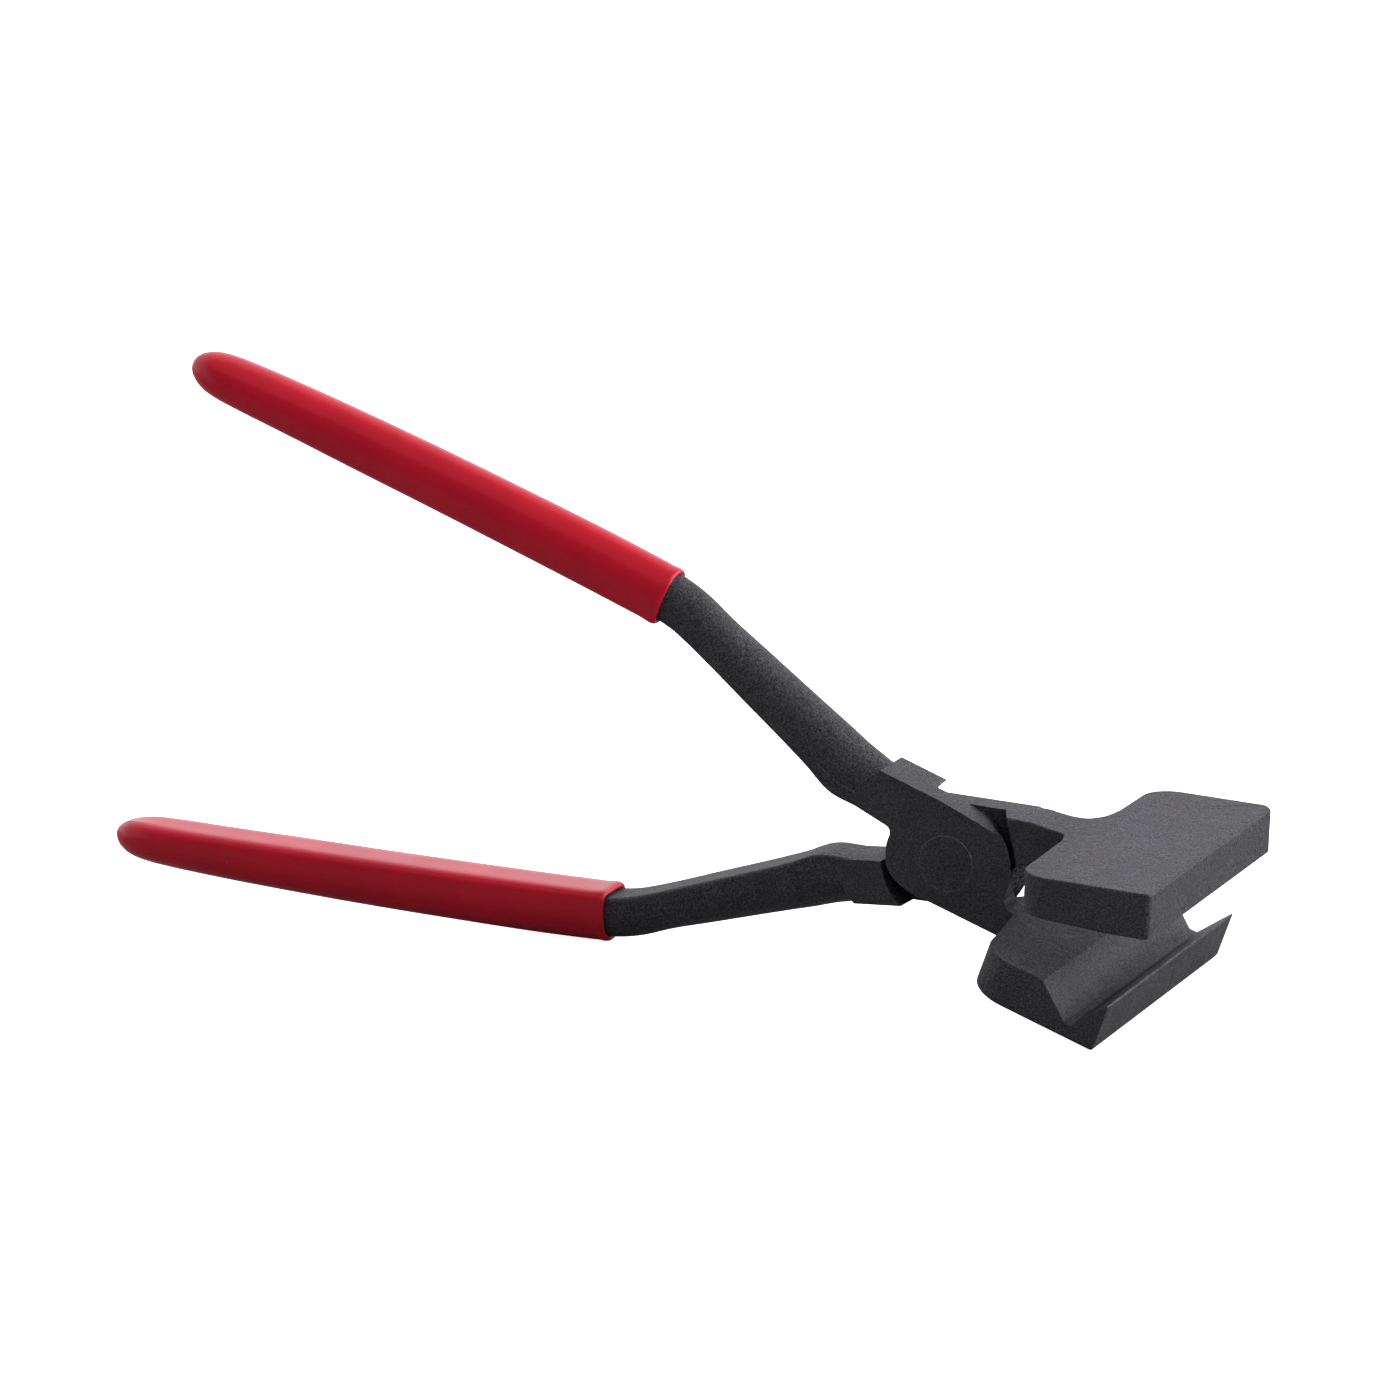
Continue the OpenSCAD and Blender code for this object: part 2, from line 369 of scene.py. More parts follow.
# Sections of a grip's outside, in the same order of numbers.
GRIP = [
    (84.5, 20.7, 33.6, 13.2, 13.2, 2.3, 0.36, 0.0),
    (103, 21.3, 34.3, 13.3, 13.3, 2.4, 0.36, 0.0),
    (124, 21.85, 34.62, 13.3, 13.3, 2.4, 0.36, 0.0),
    (145, 22.3, 34.75, 13.2, 13.2, 2.4, 0.36, 0.0),
    (166, 22.6, 34.6, 13.1, 13.1, 2.4, 0.36, 0.0),
    (188, 22.95, 34.1, 12.9, 12.9, 2.5, 0.36, 0.0),
    (200, 23.0, 33.55, 12.6, 12.6, 2.7, 0.38, 0.0),
    (205.5, 23.05, 33.1, 12.0, 12.0, 3.0, 0.40, 0.0),
    (208.7, 23.3, 32.55, 10.9, 10.9, 3.2, 0.42, 0.0),
    (211.2, 23.9, 31.7, 8.9, 8.9, 3.0, 0.44, 0.0),
    (213.0, 24.8, 30.6, 6.3, 6.3, 2.3, 0.46, 0.0),
    (214.1, 25.8, 29.3, 3.6, 3.6, 1.4, 0.46, 0.0),
    (214.6, 26.9, 28.1, 1.2, 1.2, 0.5, 0.46, 0.0),
]
# The shoulder in front of the pivot: its outer top corner, where the drawn necks end, and
# how far its plane moves along X for each millimetre up and across.
SHOULDER_TOP = Vector((14.0, 6.4, -13.05))
SHOULDER_BACK = 10.0
SHOULDER_RISE = 0.286
SHOULDER_LEAN = 0.422
# The shoulder behind the pivot: where its lower end lies, and how much wider it is at the
# far side than beside the lap.
SPLIT_LOW = 1.95
SHOULDER_SPREAD = 1.045
# Where a lap's rough front edge lies: its back, near side, lower and upper ends, and how
# far from the pivot it reaches. A face belongs to it if it looks away from the pivot.
NOSE_BACK = 8
NOSE_SIDE = -6.2
NOSE_LOW = -2.5
NOSE_HIGH = 10
NOSE_REACH = 16.2
NOSE_FACING = 0.6
NEAR = 1e-4
CORNER_STEPS = 4
BACK_STEPS = 13
CREASE_END = math.radians(24)
STATION_STEP = 2.2
LATHE_STEPS = 120


def section(row):
    """One section of a handle as a ring of points: flat inside, with a round back."""
    x, inside, back, flat_width, round_width, corner, side, crease = row
    half = flat_width / 2
    shoulder = inside + side * (back - inside)
    right = [(half * 0.4, inside)]
    for i in range(CORNER_STEPS + 1):
        a = math.pi / 2 * i / CORNER_STEPS
        right.append((half - corner * (1 - math.sin(a)), inside + corner * (1 - math.cos(a))))
    right.append((half, max(shoulder - 0.25, inside + corner + 0.02)))
    for i in range(BACK_STEPS):
        a = math.pi / 2 * i / BACK_STEPS
        swell = max(0.0, 1 - a / CREASE_END)
        right.append((round_width / 2 * math.cos(a) - crease * swell ** 1.5,
                      shoulder + (back - shoulder) * math.sin(a)))
    ring = right + [(0, back)] + [(-y, z) for y, z in reversed(right)]
    return [(-x, y, z) for y, z in ring]


def joint_block(name, sizes, shoulder, top, bottom, neck):
    """The lap on the near side, with the full-thickness block behind its shoulder.

    shoulder is the shoulder's radius beside the lap. top and bottom are the heights of
    the outline's long edges at the back and front.
    neck holds the outline's last points, from the bottom up to the lap's front edge."""
    half = millimetres(sizes.thickness) / 2
    radius = millimetres(sizes.lap_radius)
    front = millimetres(sizes.lap_front_radius)
    inside = millimetres(sizes.lap_inside_radius)
    lap_y = -millimetres(sizes.lap_gap) / 2

    split_top = (-math.sqrt(shoulder ** 2 - top[1] ** 2), top[1])
    split_low = (-math.sqrt(shoulder ** 2 - SPLIT_LOW ** 2), SPLIT_LOW)
    crease = curve_through([(-26.5, 3.1), (-26.3, 5.7), (-25.3, 8.6), (-23.4, 11.5),
                            (-22.0, top[0])], 4)
    heel = curve_through([(-14.8, 0.4), (-14.7, -2.4), (-13.6, -5.8), (-11.3, -8.4),
                          (-7.8, bottom[0] + 0.45), (-4.2, bottom[0])], 4)
    corner = curve_through([(-17.0, 2.05), (-15.75, 1.75), (-14.9, 0.95)], 3)
    low_angle = math.degrees(math.asin(-1.8 / front))
    high_angle = math.degrees(math.asin(top[2] / front))
    nose = arc(front, low_angle, high_angle, 24)
    rows = (crease + [split_top, (-6.0, top[1] - 0.05)] + nose[::-1] + neck[::-1]
            + heel[::-1] + corner[::-1][1:-1] + [split_low, (-17.9, 2.1)])
    # the lap's front edge leans: its inside runs on a smaller radius
    lean = {}
    inside_high = 86.0
    for i, point in enumerate(nose):
        part = i / (len(nose) - 1)
        a = math.radians(low_angle + (inside_high - low_angle) * part)
        r = front + (inside - front) * min(1.0, part * 6)
        lean[point] = (r * math.cos(a), min(r * math.sin(a), top[1] - 0.45))

    bm = bmesh.new()
    face = bm.faces.new([bm.verts.new((x, -half, z)) for x, z in rows])
    origins = extruded(bm, face, (0, half + lap_y, 0))
    by_place = {(round(o.x, 4), round(o.z, 4)): v for v, o in origins.items()}
    for point, inner in lean.items():
        vert = by_place[(round(point[0], 4), round(point[1], 4))]
        vert.co.x = inner[0]
        vert.co.z = inner[1]
    cap = max(bm.faces, key=lambda f: f.calc_center_median().y)
    high = by_place[(round(split_top[0], 4), round(split_top[1], 4))]
    low = by_place[(round(split_low[0], 4), round(split_low[1], 4))]
    first = math.degrees(math.atan2(split_top[1], split_top[0]))
    last = math.degrees(math.atan2(split_low[1], split_low[0]))
    cut = [Vector((x, lap_y, z)) for x, z in arc(shoulder, first, last, 16)[1:-1]]
    bmesh.utils.face_split(cap, high, low, coords=cut)
    flat = [f for f in bm.faces if all(abs(v.co.y - lap_y) < NEAR for v in f.verts)]
    block = min(flat, key=lambda f: f.calc_center_median().x)
    for vert, origin in extruded(bm, block, (0, half - lap_y, 0)).items():
        if math.hypot(origin.x, origin.z) < shoulder + 0.01:
            vert.co.x *= SHOULDER_SPREAD
            vert.co.z *= 1.0 if vert.co.z > top[1] - 0.1 else SHOULDER_SPREAD
    bm.normal_update()
    bmesh.ops.dissolve_limit(
        bm, angle_limit=math.radians(1), verts=bm.verts[:], edges=bm.edges[:],
        delimit={"NORMAL"})
    width = millimetres(sizes.edge)

    def same_width(_edge):
        """Every milled edge is rounded alike."""
        return width

    return rounded(bm, name, same_width, True)


def jaw_block(name, plan, corners, top, bottom, breaks, rule):
    """A jaw with its neck: a plan with rounded corners, between a top and a bottom line.

    The neck's end lies in the plane of the shoulder, which leans back towards the lap."""
    bm = bmesh.new()
    verts = [bm.verts.new((x, y, 0)) for x, y in plan]
    bm.faces.new(verts)
    for index, width, segments in corners:
        bmesh.ops.bevel(
            bm, geom=[verts[index]], offset=width, offset_type="OFFSET", affect="VERTICES",
            segments=segments, profile=0.5, material=-1, clamp_overlap=True)
    extruded(bm, bm.faces[:][0], (0, 0, 1))
    for x in breaks:
        bmesh.ops.bisect_plane(
            bm, geom=bm.verts[:] + bm.edges[:] + bm.faces[:],
            plane_co=(x, 0, 0), plane_no=(1, 0, 0), dist=NEAR)
    for vert in bm.verts:
        rows = top if vert.co.z > 0.5 else bottom
        vert.co.z = height_at(rows, vert.co.x)
        if vert.co.x < SHOULDER_BACK:
            fall = (vert.co.z - SHOULDER_TOP.z) * SHOULDER_RISE
            vert.co.x = SHOULDER_TOP.x + fall + (vert.co.y - SHOULDER_TOP.y) * SHOULDER_LEAN
    bm.normal_update()
    bmesh.ops.dissolve_limit(
        bm, angle_limit=math.radians(1), verts=bm.verts[:], edges=bm.edges[:],
        delimit={"NORMAL"})
    return rounded(bm, name, rule, False)


def lever(name, joint, jaw, place, hole_radius):
    """Joins a lever's joint block, jaw and bar, and bores it for the rivet."""
    bar = loft(f"{name} bar", [section(row) for row in between(BAR, STATION_STEP)])
    whole = combined(joint, jaw, "UNION")
    whole = combined(whole, bar, "UNION")
    bm = bmesh.new()
    bmesh.ops.create_cone(
        bm, cap_ends=True, segments=LATHE_STEPS, radius1=hole_radius, radius2=hole_radius,
        depth=40, matrix=Matrix.Rotation(math.pi / 2, 4, "X"))
    check_closed(bm, "rivet bore")
    whole = combined(whole, to_object(bm, "rivet bore"), "DIFFERENCE")
    whole.name = name
    whole.data.name = name
    return finished(whole, place)


def mark_milled(made, place, half):
    """Gives the flat milled faces of a joint the second material."""
    back = place.inverted()
    for face in made.data.polygons:
        middle = back @ face.center
        if abs(face.normal.y) > 0.999 and abs(abs(middle.y) - half) < 0.02 and middle.x < 30:
            face.material_index = 1


def mark_nose(made, place):
    """Gives the rough forged front edge of a lap the third material, which is painted lighter as
    painted light from behind.
    """
    back = place.inverted()
    turn = back.to_3x3()
    for face in made.data.polygons:
        middle = back @ face.center
        out = Vector((middle.x, 0, middle.z)).normalized()
        beside = middle.x > NOSE_BACK and NOSE_SIDE < middle.y < 0
        level = NOSE_LOW < middle.z < NOSE_HIGH
        close = math.hypot(middle.x, middle.z) < NOSE_REACH
        facing = (turn @ face.normal).normalized().dot(out) > NOSE_FACING
        if beside and level and close and facing:
            face.material_index = 2


class PLIERS_OT_lower_jaw_lever(Operator):
    """Builds the lever with the grooved lower jaw and the upper handle"""
    bl_idname = "pliers.lower_jaw_lever"
    bl_label = "Lower Jaw Lever"

    def execute(self, context):
        joint_sizes = context.scene.pliers_joint
        jaws = context.scene.pliers_jaws
        half = millimetres(joint_sizes.thickness) / 2
        half_width = millimetres(jaws.width) / 2
        front = millimetres(jaws.lower_front)
        depth = millimetres(jaws.lower_depth)
        lip = millimetres(jaws.lip_height)
        edge = millimetres(jaws.edge)
        joint = joint_block(
            "lower lever joint", joint_sizes, millimetres(joint_sizes.upper_shoulder),
            (13.45, 13.3, 11.8), (-10.3, -10.4),
            [(17.0, -10.4), (17.5, -8.65), (19.0, -3.8), (17.3, -3.5)])
        plan = [
            (9, -half + 0.1), (19.4, -half + 0.1), (20.9, -13.7), (22.6, -26), (23.6, -half_width),
            (front, -half_width), (front, half_width),
            (23.6, half_width), (22.6, 26), (20.9, 13.7), (19.4, half), (9, half)]
        corners = [(4, 8.5, 10), (7, 8.5, 10), (1, 1.2, 4), (10, 1.2, 4)]
        top = [(9, -3.75), (20.0, -3.9), (20.8, -0.6), (39.4, -0.6),
               (47.2, -7.3), (49.1, -7.3), (front - 0.3, lip), (front, lip - 0.5)]
        bottom = [(9, -10.35), (18.2, -10.4), (22.5, -depth), (front, -depth)]

        far_end = 2.6
        lip_edge = 0.09
        front_corner = 0.3
        neck_edge = 0.4
        other_edge = 0.2

        def rule(e):
            """How far an edge of the lower jaw is rounded, by where it lies."""
            middle = (e.verts[0].co + e.verts[1].co) / 2
            flat = abs(e.verts[0].co.z - e.verts[1].co.z) < 0.05
            if middle.z < -depth + 0.05 and middle.y > half_width - 0.1:
                return far_end
            if middle.z < -depth + 0.05:
                return edge
            if middle.x > front - 0.4 and middle.z > lip - 0.6:
                return lip_edge
            if not flat and middle.x > front - 0.1:
                return front_corner
            if middle.x < 20.9:
                return neck_edge
            return other_edge

        jaw = jaw_block(
            "lower jaw", plan, corners, top, bottom, [row[0] for row in top[1:-1]] + [18.2, 22.5],
            rule)
        whole = lever("lower_jaw_forging", joint, jaw, LOWER_PLACE,
                      millimetres(joint_sizes.rivet_radius) + 0.02)
        mark_milled(whole, LOWER_PLACE, half)
        settle(whole, "lower_jaw_body", "lower_jaw_lever", "blackened_steel",
               forged_steel(), milled_steel())
        return {"FINISHED"}


class PLIERS_OT_upper_jaw_lever(Operator):
    """Builds the lever with the flat upper jaw and the lower handle"""
    bl_idname = "pliers.upper_jaw_lever"
    bl_label = "Upper Jaw Lever"

    def execute(self, context):
        joint_sizes = context.scene.pliers_joint
        jaws = context.scene.pliers_jaws
        half = millimetres(joint_sizes.thickness) / 2
        half_width = millimetres(jaws.width) / 2
        front = millimetres(jaws.upper_front)
        height = millimetres(jaws.upper_height)
        face = millimetres(jaws.upper_face)
        joint = joint_block(
            "upper lever joint", joint_sizes, millimetres(joint_sizes.lower_shoulder),
            (13.0, 11.8, 11.2), (-12.8, -12.9),
            [(17.5, -12.9), (18.0, -8.65), (19.0, -3.8), (17.3, -2.9)])
        far_fillet = curve_through([(22.5, -half + 0.1), (26.0, -7.1), (29.0, -9.6),
                                    (31.0, -13.4), (31.9, -19.0)], 4)
        plan = [(8, -half + 0.1)] + far_fillet + [
            (32.2, -half_width), (front, -half_width), (front, half_width),
            (29.9, half_width), (29.2, 10.6), (28.2, half), (8, half)]
        count = len(far_fillet)
        corners = [(count + 1, 7, 10), (count + 2, 2.8, 8), (count + 3, 1.5, 5),
                   (count + 4, 7, 10), (count + 6, 1.0, 4)]
        low_rows = [(8, 13.0), (20, 12.75), (24.5, 11.95), (28.5, height + 0.06),
                    (31, height), (front, height)]
        face_rows = [(8, 2.0), (18.5, 2.4), (23, 2.7), (29, 2.0), (32.7, 1.9),
                     (38, 1.55), (50, face + 0.1), (front, face)]
        top = [(x, -z) for x, z in face_rows]
        bottom = [(x, -z) for x, z in low_rows]

        common_edge = 0.35
        neck_edge = 0.45
        extra_at_front = 0.75
        fade = 1.2

        def rule(e):
            """How far an edge of the upper jaw is rounded, by where it lies."""
            middle = (e.verts[0].co + e.verts[1].co) / 2
            if middle.z < -height + 0.1 and middle.x > front - 1.6:
                part = min(1.0, (half_width - abs(middle.y)) / fade)
                return common_edge + extra_at_front * part
            if middle.x < 28:
                return neck_edge
            return common_edge

        jaw = jaw_block(
            "upper jaw", plan, corners, top, bottom,
            [row[0] for row in top[1:-1]] + [row[0] for row in bottom[1:-1]], rule)
        whole = lever("upper_jaw_forging", joint, jaw, UPPER_PLACE,
                      millimetres(joint_sizes.rivet_radius) + 0.05)
        mark_milled(whole, UPPER_PLACE, half)
        mark_nose(whole, UPPER_PLACE)
        settle(whole, "upper_jaw_body", "upper_jaw_lever", "blackened_steel",
               forged_steel(), milled_steel(), rough_steel_painted_lighter())
        return {"FINISHED"}


class PLIERS_OT_pivot_rivet(Operator):
    """Turns the rivet that joins the levers"""
    bl_idname = "pliers.pivot_rivet"
    bl_label = "Pivot Rivet"

    def execute(self, context):
        sizes = context.scene.pliers_joint
        half = millimetres(sizes.thickness) / 2
        radius = millimetres(sizes.rivet_radius)
        head = millimetres(sizes.rivet_head_radius)
        chamfer = 0.09
        head_depth = 1.6
        profile = [(0, -half), (radius - chamfer, -half), (radius, -half + chamfer),
                   (radius, half - head_depth), (head, half - chamfer), (head - chamfer, half),
                   (0, half)]
        bm = bmesh.new()
        verts = [bm.verts.new((x, y, 0)) for x, y in profile]
        edges = [bm.edges.new(pair) for pair in zip(verts, verts[1:])]
        bmesh.ops.spin(
            bm, geom=verts + edges, cent=(0, 0, 0), axis=(0, 1, 0), angle=2 * math.pi,
            steps=LATHE_STEPS, use_merge=True)
        check_closed(bm, "pivot rivet")
        made = finished(to_object(bm, "pivot_rivet_turned"), LOWER_PLACE, 25)
        back = LOWER_PLACE.inverted()
        for face in made.data.polygons:
            middle = back @ face.center
            out = math.hypot(middle.x, middle.z)
            if abs(middle.y) > half - chamfer and out > radius - chamfer:
                face.material_index = 1
        settle(made, "lower_jaw_body", "pivot_rivet", "rivet_steel",
               milled_steel(), bare_steel())
        return {"FINISHED"}


class PLIERS_OT_grips(Operator):
    """Builds the dipped sleeves over both handles"""
    bl_idname = "pliers.grips"
    bl_label = "Grips"

    def execute(self, context):
        sizes = context.scene.pliers_grips
        mouth = millimetres(sizes.mouth)
        wall = millimetres(sizes.wall)
        bead = millimetres(sizes.bead)
        outside = between(GRIP, STATION_STEP)
        inside = [row for row in between(BAR, STATION_STEP) if row[0] > mouth + 0.4]

        def grown(row, x, by):
            """A section at distance x, larger all round."""
            return (x, row[1] - by, row[2] + by, row[3] + 2 * by, row[4] + 2 * by,
                    max(row[5] + by, 0.3), row[6], row[7])

        start = outside[0]
        rim = [(wall, 1.1), (wall * 0.97, 0.55), (wall * 0.8, 0.2), (wall * 0.5, 0.0),
               (wall * 0.2, 0.12), (wall * 0.02, 0.45), (-bead, 1.0), (-bead, 1.7),
               (-bead * 0.4, 2.6)]
        rings = [section(grown(row, row[0], 0.03)) for row in reversed(inside)]
        rings += [section(grown(start, mouth + along, -inset)) for inset, along in rim]
        rings += [section(row) for row in outside if row[0] > mouth + 3]
        for name, body, node, place in (
                ("upper_grip_sleeve", "lower_jaw_body", "upper_grip", LOWER_PLACE),
                ("lower_grip_sleeve", "upper_jaw_body", "lower_grip", UPPER_PLACE)):
            made = finished(loft(name, rings), place, 60)
            settle(made, body, node, "red_dip", dipped_plastic())
        return {"FINISHED"}


# ---------------------------------------------------------------- materials

def socket_named(sockets, name):
    """A node's socket by its name, where its value can be set."""
    for socket in sockets:
        if socket.name == name and socket.enabled:
            return socket
    raise RuntimeError(f"there is no socket named {name}")


class Tree:
    """Adds nodes to a node tree and links them."""

    def __init__(self, tree):
        """Starts on an emptied node tree."""
        self.tree = tree
        self.tree.nodes.clear()

    def add(self, kind, inputs=None, **settings):
        """Adds a node. An input is a value or another node's output."""
        node = self.tree.nodes.new(kind)
        for name, value in settings.items():
            setattr(node, name, value)
        for name, value in (inputs or {}).items():
            socket = node.inputs[name] if isinstance(name, int) else socket_named(node.inputs, name)
            if isinstance(value, bpy.types.NodeSocket):
                self.tree.links.new(value, socket)
            else:
                socket.default_value = value
        return node

    def ramp(self, value, low, high, start=0.0, end=1.0):
        """A value taken smoothly from one range to another."""
        node = self.add("ShaderNodeMapRange", interpolation_type="SMOOTHSTEP", inputs={
            "Value": value, "From Min": low, "From Max": high, "To Min": start, "To Max": end})
        return node.outputs["Result"]

    def math(self, operation, first, second=0.0):
        """One sum of two values."""
        node = self.add("ShaderNodeMath", {0: first, 1: second}, operation=operation)
        return node.outputs[0]

    def noise(self, vector, scale, detail=2.0, roughness=0.5, distortion=0.0):
        """Smooth noise at a place."""
        node = self.add("ShaderNodeTexNoise", {
            "Vector": vector, "Scale": scale, "Detail": detail, "Roughness": roughness,
            "Distortion": distortion})
        return node.outputs["Fac"]

    def mixed(self, factor, first, second, blend="MIX"):
        """Two colours blended by a factor."""
        node = self.add("ShaderNodeMix", {0: factor, 6: first, 7: second},
                        data_type="RGBA", blend_type=blend)
        return node.outputs[2]


def group_tree(name, inputs, outputs):
    """A node group with named sockets, or None where it is already made."""
    if name in bpy.data.node_groups:
        return None
    group = bpy.data.node_groups.new(name, "ShaderNodeTree")
    for label, kind, default in inputs:
        made = group.interface.new_socket(name=label, in_out="INPUT", socket_type=kind)
        if default is not None:
            made.default_value = default
    for label, kind in outputs:
        group.interface.new_socket(name=label, in_out="OUTPUT", socket_type=kind)
    return group


def grain_group():
    """Blasted grain: a height, a speckle and slow blotches."""
    group = group_tree(
        "Blasted grain",
        [("Vector", "NodeSocketVector", None), ("Fineness", "NodeSocketFloat", 2200.0)],
        [("Height", "NodeSocketFloat"), ("Speckle", "NodeSocketFloat"),
         ("Blotch", "NodeSocketFloat")])
    if group:
        tree = Tree(group)
        given = tree.add("NodeGroupInput")
        vector = given.outputs["Vector"]
        fine = given.outputs["Fineness"]
        small = tree.noise(vector, fine, 3.0, 0.65)
        coarse = tree.noise(vector, tree.math("MULTIPLY", fine, 0.37), 2.0, 0.55)
        height = tree.math("ADD", tree.math("MULTIPLY", small, 0.6),
                           tree.math("MULTIPLY", coarse, 0.4))
        speckle = tree.ramp(small, 0.4, 0.6)
        blotch = tree.ramp(tree.noise(vector, 95.0, 3.0, 0.6), 0.3, 0.7)
        tree.add("NodeGroupOutput", {"Height": height, "Speckle": speckle, "Blotch": blotch})
    return bpy.data.node_groups["Blasted grain"]


def pits_group():
    """Small pits and dents left by forging, in patches."""
    group = group_tree(
        "Forging pits",
        [("Vector", "NodeSocketVector", None), ("Amount", "NodeSocketFloat", 0.5)],
        [("Pit", "NodeSocketFloat"), ("Dent", "NodeSocketFloat")])
    if group:
        tree = Tree(group)
        given = tree.add("NodeGroupInput")
        vector = given.outputs["Vector"]
        cells = tree.add("ShaderNodeTexVoronoi", {"Vector": vector, "Scale": 620.0})
        patch = tree.ramp(tree.noise(vector, 140.0, 2.0), 0.5, 0.75)
        patch = tree.math("MULTIPLY", patch, given.outputs["Amount"])
        size = tree.math("MULTIPLY", patch, 0.34)
        pit = tree.add("ShaderNodeMapRange", {
            "Value": cells.outputs["Distance"], "From Min": 0.0, "From Max": size,
            "To Min": 1.0, "To Max": 0.0})
        dent = tree.ramp(tree.noise(vector, 330.0, 1.0), 0.55, 0.8)
        tree.add("NodeGroupOutput", {"Pit": pit.outputs["Result"], "Dent": dent})
    return bpy.data.node_groups["Forging pits"]


def wear_group():
    """Edges where the finish has rubbed through, broken up by noise."""
    group = group_tree(
        "Edge wear",
        [("Vector", "NodeSocketVector", None), ("Radius", "NodeSocketFloat", 0.0004),
         ("Amount", "NodeSocketFloat", 0.5)],
        [("Wear", "NodeSocketFloat")])
    if group:
        tree = Tree(group)
        given = tree.add("NodeGroupInput")
        smooth = tree.add("ShaderNodeBevel", {"Radius": given.outputs["Radius"]}, samples=6)
        true = tree.add("ShaderNodeNewGeometry")
        turn = tree.add("ShaderNodeVectorMath", {
            0: smooth.outputs["Normal"], 1: true.outputs["Normal"]}, operation="DOT_PRODUCT")
        edge = tree.ramp(turn.outputs["Value"], 0.96, 0.78)
        broken = tree.ramp(tree.noise(given.outputs["Vector"], 420.0, 4.0, 0.7), 0.42, 0.66)
        wear = tree.math("MULTIPLY", tree.math("MULTIPLY", edge, broken), given.outputs["Amount"])
        tree.add("NodeGroupOutput", {"Wear": wear})
    return bpy.data.node_groups["Edge wear"]


def dust_group():
    """Sparse pale specks of dust."""
    group = group_tree(
        "Dust",
        [("Vector", "NodeSocketVector", None), ("Amount", "NodeSocketFloat", 0.5)],
        [("Dust", "NodeSocketFloat")])
    if group:
        tree = Tree(group)
        given = tree.add("NodeGroupInput")
        vector = given.outputs["Vector"]
        cells = tree.add("ShaderNodeTexVoronoi", {"Vector": vector, "Scale": 330.0})
        dot = tree.ramp(cells.outputs["Distance"], 0.075, 0.03)
        chosen = tree.ramp(cells.outputs["Color"], 0.86, 0.9)
        amount = tree.math("MULTIPLY", tree.math("MULTIPLY", dot, chosen),
                           given.outputs["Amount"])
        tree.add("NodeGroupOutput", {"Dust": amount})
    return bpy.data.node_groups["Dust"]


def grouped(tree, group, inputs):
    """A node that uses a node group."""
    node = tree.tree.nodes.new("ShaderNodeGroup")
    node.node_tree = group
    for name, value in inputs.items():
        if isinstance(value, bpy.types.NodeSocket):
            tree.tree.links.new(value, node.inputs[name])
        else:
            node.inputs[name].default_value = value
    return node


PIT_BLACK = (0.006, 0.006, 0.006, 1)
STEEL_DUST = (0.42, 0.40, 0.36, 1)
DIP_DUST = (0.75, 0.55, 0.55, 1)


def with_alpha(colour):
    """A colour with full alpha."""
    return (colour[0], colour[1], colour[2], 1.0)


def new_material(name):
    """A material with an empty node tree."""
    material = bpy.data.materials.new(name)
    material.use_nodes = True
    return material, Tree(material.node_tree)


def steel_material(name, colour, fineness, bump, rough, pits, wear):
    """Blackened steel with a blasted grain."""
    if name in bpy.data.materials:
        return bpy.data.materials[name]
    finishes = bpy.context.scene.pliers_finishes
    material, tree = new_material(name)
    place = tree.add("ShaderNodeTexCoord").outputs["Object"]
    grain = grouped(tree, grain_group(), {"Vector": place, "Fineness": fineness})
    pit = grouped(tree, pits_group(), {"Vector": place, "Amount": pits})
    edge = grouped(tree, wear_group(), {"Vector": place, "Radius": 0.0004, "Amount": wear})
    dust = grouped(tree, dust_group(), {"Vector": place, "Amount": 0.8})
    dark = [c * 0.2 for c in colour]
    light = [min(1.0, c * 1.9) for c in colour]
    base = tree.mixed(grain.outputs["Speckle"], with_alpha(dark), with_alpha(light))
    tone = tree.ramp(grain.outputs["Blotch"], 0.0, 1.0, 0.84, 1.1)
    base = tree.mixed(1.0, base, tone, "MULTIPLY")
    base = tree.mixed(pit.outputs["Pit"], base, PIT_BLACK)
    base = tree.mixed(edge.outputs["Wear"], base, with_alpha(finishes.bare))
    base = tree.mixed(dust.outputs["Dust"], base, STEEL_DUST)
    roughness = tree.ramp(grain.outputs["Speckle"], 0.0, 1.0, rough + 0.05, rough - 0.05)
    roughness = tree.math("SUBTRACT", roughness, tree.math("MULTIPLY", edge.outputs["Wear"], 0.1))
    metallic = tree.math("MULTIPLY", edge.outputs["Wear"], 0.7)
    height = tree.math("SUBTRACT", grain.outputs["Height"],
                       tree.math("MULTIPLY", pit.outputs["Pit"], 1.6))
    height = tree.math("SUBTRACT", height, tree.math("MULTIPLY", pit.outputs["Dent"], 0.5))
    normal = tree.add("ShaderNodeBump", {"Height": height, "Strength": bump, "Distance": 0.00045})
    shader = tree.add("ShaderNodeBsdfPrincipled", {
        "Base Color": base, "Roughness": roughness, "Metallic": metallic,
        "Normal": normal.outputs["Normal"]})
    shader.inputs["Specular IOR Level"].default_value = 0.35
    tree.add("ShaderNodeOutputMaterial", {"Surface": shader.outputs["BSDF"]})
    return material


def forged_steel():
    """Forged and blasted surfaces of the levers."""
    colour = bpy.context.scene.pliers_finishes.steel
    return steel_material(
        "Forged steel", colour, fineness=2300.0, bump=0.9, rough=0.56, pits=0.7, wear=0.7)


def milled_steel():
    """Milled faces of the joint: a finer, flatter grain."""
    colour = bpy.context.scene.pliers_finishes.milled
    return steel_material(
        "Milled steel", colour, fineness=3400.0, bump=0.25, rough=0.5, pits=0.12, wear=0.6)


